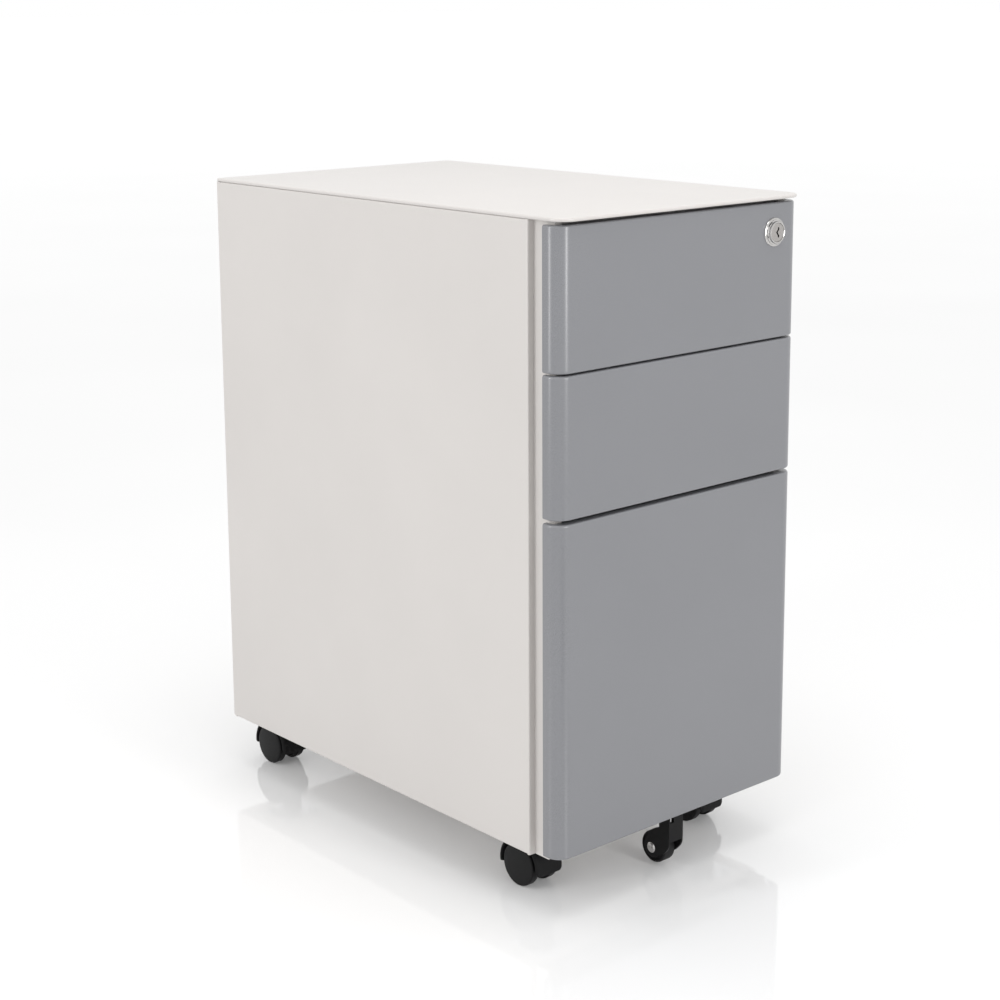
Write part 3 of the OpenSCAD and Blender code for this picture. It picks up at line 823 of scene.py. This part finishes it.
def wheel_profile(r, x_in, x_out):
    """Half section of a castor wheel: (radius, distance out from the castor's middle)."""
    shoulder = 2.0 * MM
    bore = 3.05 * MM
    tread_in = x_in + 2.5 * MM
    tread_out = x_out - 2.8 * MM
    blind_end = x_out - 2.7 * MM
    hub_r = 7 * MM
    web = tread_in + 1.2 * MM
    profile = [(bore, x_in), (hub_r - 0.3 * MM, x_in), (hub_r, x_in + 0.3 * MM), (hub_r, web),
               (r - 3.0 * MM, web), (r - 2.6 * MM, tread_in),
               (r - 0.6 * MM, tread_in), (r, tread_in + 0.6 * MM)]
    profile += arc_points((r - shoulder, tread_out), shoulder, 0, 72, 8)
    dome = 12
    r0, h0 = profile[-1]
    for i in range(1, dome + 1):
        t = i / dome
        profile.append((r0 * (1 - t), h0 + (x_out - h0) * (1 - (1 - t) ** 2.2)))
    profile += [(0, blind_end), (bore, blind_end)]
    return profile


def build_castor(where):
    """One castor's hood, on its swivelling body, and its two wheels."""
    body = f"castor_{where}"
    stem = Vector(JOINTS[f"{body}_swivel"]["pos_m"])
    axle = Vector(JOINTS[f"{body}_wheel_left_spin"]["pos_m"])
    axle.x = stem.x
    hood_low, hood_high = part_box(f"{body}_hood")
    half_w = (hood_high.x - hood_low.x) / 2
    radius = hood_high.y - axle.y
    parts = [
        castor_shell("shell", axle, radius, half_w),
        castor_rib("rib", axle, radius, RIB_HALF_T),
        castor_neck("neck", axle, stem, radius),
    ]
    hood = join(parts, f"{body}_hood_moulding")
    smooth(hood, 35)
    place(hood, body, HOOD_NYLON, [f"{body}_hood"])
    for side, sign in (("left", -1), ("right", 1)):
        node = f"{body}_wheel_{side}"
        low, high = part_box(node)
        x_in = min(abs(low.x - axle.x), abs(high.x - axle.x))
        x_out = max(abs(low.x - axle.x), abs(high.x - axle.x))
        r = (high.z - low.z) / 2
        wheel = lathe(f"{node}_moulding", wheel_profile(r, x_in, x_out), axle, (sign, 0, 0))
        smooth(wheel, 30)
        place(wheel, node, WHEEL_NYLON, [node])


# ---------------------------------------------------------------- fifth wheel

FIFTH_BORE_R = 2.05 * MM


def build_fifth_wheel():
    """Wheel under the filing drawer: a tread with a rounded shoulder and a recessed web."""
    centre = Vector(JOINTS["fifth_wheel_spin"]["pos_m"])
    low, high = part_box("fifth_wheel")
    r = (high.z - low.z) / 2
    w = high.x - low.x
    bore = FIFTH_BORE_R
    profile = [
        (bore, 1.2 * MM), (5.5 * MM, 1.2 * MM), (5.9 * MM, 1.5 * MM), (6.3 * MM, 2.6 * MM),
        (r - 3.4 * MM, 2.9 * MM), (r - 2.6 * MM, 2.2 * MM), (r - 2.2 * MM, 0.5 * MM),
        (r - 1.9 * MM, 0.1 * MM), (r - 1.4 * MM, 0.0), (r - 0.8 * MM, 0.15 * MM),
        (r - 0.2 * MM, 0.8 * MM), (r, 1.8 * MM), (r, w - 1.8 * MM), (r - 0.2 * MM, w - 0.8 * MM),
        (r - 0.8 * MM, w - 0.15 * MM), (r - 1.4 * MM, w), (bore, w),
    ]
    wheel = lathe("fifth_wheel_moulding", profile, (low.x, centre.y, centre.z), (1, 0, 0), 72)
    smooth(wheel, 30)
    place(wheel, "fifth_wheel", TREAD_NYLON, ["fifth_wheel"])
    build_fifth_cap(centre)


def build_fifth_cap(centre):
    """Push-on cap: a domed steel washer with two slots, where its tongues grip the axle."""
    low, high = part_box("fifth_wheel_cap")
    r = (high.z - low.z) / 2
    depth = high.x - low.x
    hollow = 0.95 * MM
    profile = [
        (FIFTH_BORE_R, 0.0), (r, 0.0), (r, 0.45 * MM), (r - 0.3 * MM, 0.7 * MM),
        (r - 0.9 * MM, 0.85 * MM), (r - 1.2 * MM, 1.25 * MM), (r - 1.9 * MM, depth - 0.3 * MM),
        (r - 2.8 * MM, depth - 0.05 * MM), (0.0, depth), (0.0, hollow), (FIFTH_BORE_R, hollow),
    ]
    cap = lathe("fifth_wheel_cap_pressed", profile, (high.x, centre.y, centre.z), (-1, 0, 0), 48)
    to_x = Matrix(((0, 0, 1), (1, 0, 0), (0, 1, 0))).to_4x4()
    for sign in (-1, 1):
        y = centre.y + sign * 1.5 * MM
        half_y, half_z = 0.4 * MM, 0.9 * MM
        z = centre.z + 0.8 * MM
        outline = [(y - half_y, z - half_z), (y + half_y, z - half_z),
                   (y + half_y, z + half_z), (y - half_y, z + half_z)]
        start = Matrix.Translation(Vector((low.x - 1 * MM, 0, 0)))
        cut(cap, prism("cap_slot", outline, 1.45 * MM, start @ to_x))
    smooth(cap, 30)
    place(cap, "drawer_3", CHROME, ["fifth_wheel_cap"])


# ---------------------------------------------------------------- CAD nodes that stay

FINISHES = {
    "carcass_paint": CARCASS_PAINT,
    "front_paint": FRONT_PAINT,
    "tray_paint": TRAY_PAINT,
    "zinc_steel": ZINC,
    "chrome": CHROME,
    "black_moulding": HOOD_NYLON,
    "black_wheel": WHEEL_NYLON,
}
SMALL_EDGE = 0.25 * MM


def dress_cad_nodes():
    """Finishes the CAD nodes that keep their shape: a paint or plating, and broken edges."""
    for part in frame["record"]["subparts"]:
        node = frame["nodes"][part["node"]]
        node.data.materials.clear()
        node.data.materials.append(FINISHES[part["material_slot"]])
        if not node.hide_render:
            bevel(node, SMALL_EDGE, segments=2, angle=50)


# ---------------------------------------------------------------- stage


def studio_floor():
    """Plain white gloss floor, with a faint glow of its own so that its shadows stay pale."""
    m = Nodes("studio_floor")
    tone = m.noise(1.5, detail=1.0)
    m.shade(tone, (0.73, 0.73, 0.73), (0.75, 0.75, 0.75))
    m.set(Roughness=0.06, Specular_IOR_Level=1.0, Emission_Color=(1, 1, 1, 1),
          Emission_Strength=0.10)
    size = 60.0
    floor = new_object("floor", [(-size, -size, 0), (size, -size, 0), (size, size, 0),
                                 (-size, size, 0)], [(0, 1, 2, 3)])
    floor.data.materials.append(m.material)


def soft_light(name, place_at, aim, size, power):
    data = bpy.data.lights.new(name, "AREA")
    data.shape = "RECTANGLE"
    data.size, data.size_y = size
    data.energy = power
    light = bpy.data.objects.new(name, data)
    light.location = place_at
    light.rotation_mode = "QUATERNION"
    light.rotation_quaternion = (Vector(aim) - Vector(place_at)).to_track_quat("-Z", "Y")
    bpy.context.scene.collection.objects.link(light)


def dark_card(name, place_at, aim, width, height):
    """Black studio card that shows in reflections only."""
    m = Nodes(name)
    m.shade(m.noise(2.0), (0.012, 0.012, 0.012), (0.02, 0.02, 0.02))
    m.set(Roughness=0.9, Specular_IOR_Level=0.1)
    turn = (Vector(aim) - Vector(place_at)).to_track_quat("-Z", "Y").to_matrix().to_4x4()
    matrix = Matrix.Translation(Vector(place_at)) @ turn
    w, h = width / 2, height / 2
    card = new_object(name, [matrix @ Vector((x, y, 0)) for x, y in
                             ((-w, -h), (w, -h), (w, h), (-w, h))], [(0, 1, 2, 3)])
    card.data.materials.append(m.material)
    card.visible_camera = card.visible_diffuse = card.visible_shadow = False


def studio_light():
    world = bpy.data.worlds.new("studio")
    world.use_nodes = True
    background = world.node_tree.nodes["Background"]
    background.inputs["Color"].default_value = (1, 1, 1, 1)
    background.inputs["Strength"].default_value = 1.0
    bpy.context.scene.world = world
    # Two upright strips draw the bright lines on the drawer fronts' rounded corner.
    soft_light("left_softbox", (-1.32, 0.19, 0.85), (-0.14, -0.23, 0.80), (0.17, 1.2), 5.3)
    soft_light("front_softbox", (0.01, -1.48, 0.85), (-0.14, -0.23, 0.85), (0.20, 1.1), 6.8)
    soft_light("overhead", (-0.15, -0.25, 2.1), (0, 0, 0.4), (1.2, 1.2), 9.5)
    lock = (0.115, -0.25, 0.58)
    dark_card("card_overhead", (-0.06, -0.99, 1.51), lock, 0.9, 0.55)
    dark_card("card_low", (-0.40, -0.98, 0.01), (-0.40, -0.98, 1), 0.30, 0.30)
    bpy.context.scene.view_settings.view_transform = "Standard"


CAMERA_PLACE = Vector((-1.2347, -1.4148, 0.7970))
CAMERA_YAW = 41.185
CAMERA_PITCH = 11.052
CAMERA_ROLL = -0.338
CAMERA_LENS_MM = 71.11
CAMERA_RISE = -0.1226


def studio_camera():
    """Camera in front and to the left, above the top, with a little roll and lens shift."""
    data = bpy.data.cameras.new("camera")
    data.lens = CAMERA_LENS_MM
    data.sensor_width = 36
    data.shift_y = CAMERA_RISE
    camera = bpy.data.objects.new("camera", data)
    bpy.context.scene.collection.objects.link(camera)
    yaw, pitch, roll = (math.radians(a) for a in (CAMERA_YAW, CAMERA_PITCH, CAMERA_ROLL))
    forward = Vector((math.sin(yaw) * math.cos(pitch), math.cos(yaw) * math.cos(pitch),
                      -math.sin(pitch)))
    level = Vector((math.cos(yaw), -math.sin(yaw), 0))
    up = level.cross(forward)
    right = level * math.cos(roll) + up * math.sin(roll)
    up = up * math.cos(roll) - level * math.sin(roll)
    turn = Matrix((right, up, -forward)).transposed().to_4x4()
    camera.matrix_world = Matrix.Translation(CAMERA_PLACE) @ turn
    bpy.context.scene.camera = camera


build_sides()
build_top()
build_fronts()
build_lock()
for castor in CASTORS:
    build_castor(castor)
build_fifth_wheel()
dress_cad_nodes()
studio_floor()
studio_light()
studio_camera()
